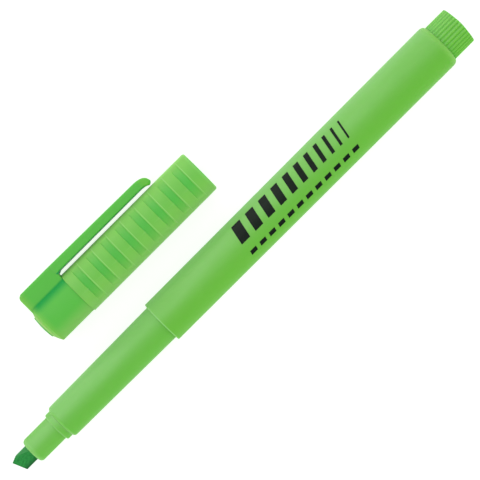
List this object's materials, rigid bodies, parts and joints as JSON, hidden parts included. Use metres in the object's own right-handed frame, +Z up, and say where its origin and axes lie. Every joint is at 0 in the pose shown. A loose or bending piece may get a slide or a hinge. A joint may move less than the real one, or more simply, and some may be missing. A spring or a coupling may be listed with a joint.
{
  "type": "highlighter pen",
  "caption": "Slim pen-style highlighter with a chisel fibre nib, a ribbed end plug and a pull-off cap with a clip, shown uncapped with the cap beside it.",
  "frame": {"origin": "middle of the whole object's footprint, on the surface it lies on", "axes": "+X along the pen from the nib towards the end plug, +Y from the pen towards the cap beside it, +Z up"},
  "size_m": [0.135, 0.031, 0.0108],
  "materials": {
    "barrel_plastic": "satin moulded polypropylene, light green, dense but slightly translucent",
    "grip_plastic": "satin moulded polypropylene, light green",
    "holder_plastic": "satin moulded polypropylene, light green",
    "plug_plastic": "satin moulded polypropylene, finely ribbed",
    "cap_plastic": "satin translucent polypropylene, light green",
    "clip_plastic": "satin translucent polypropylene, a deeper green",
    "nib_fibre": "bonded polyester fibre, damp with dark green ink",
    "ink_fibre": "felted polyester fibre soaked with fluorescent green ink",
    "wrap_film": "thin clear film"
  },
  "bodies": {
    "pen": {"barrel": "barrel_plastic", "front_section": "grip_plastic", "nib_holder": "holder_plastic", "nib": "nib_fibre", "ink_reservoir": "ink_fibre", "reservoir_wrap": "wrap_film", "end_plug": "plug_plastic"},
    "cap": {"cap_tube": "cap_plastic", "cap_crown": "clip_plastic", "inner_cap": "holder_plastic"},
    "clip": {"clip_arm": "clip_plastic"}
  },
  "joints": [
    {"name": "cap_pull", "type": "slide", "parent": "pen", "child": "cap", "axis": [-1, 0, 0], "range_m": [0, 0.073]},
    {"name": "clip_flex", "type": "hinge", "parent": "cap", "child": "clip", "pos_m": [-0.0317, 0.01433, 0.00522], "axis": [0, 0, 1], "range_deg": [0, 5], "stiffness_Nm_per_rad": 0.02}
  ]
}
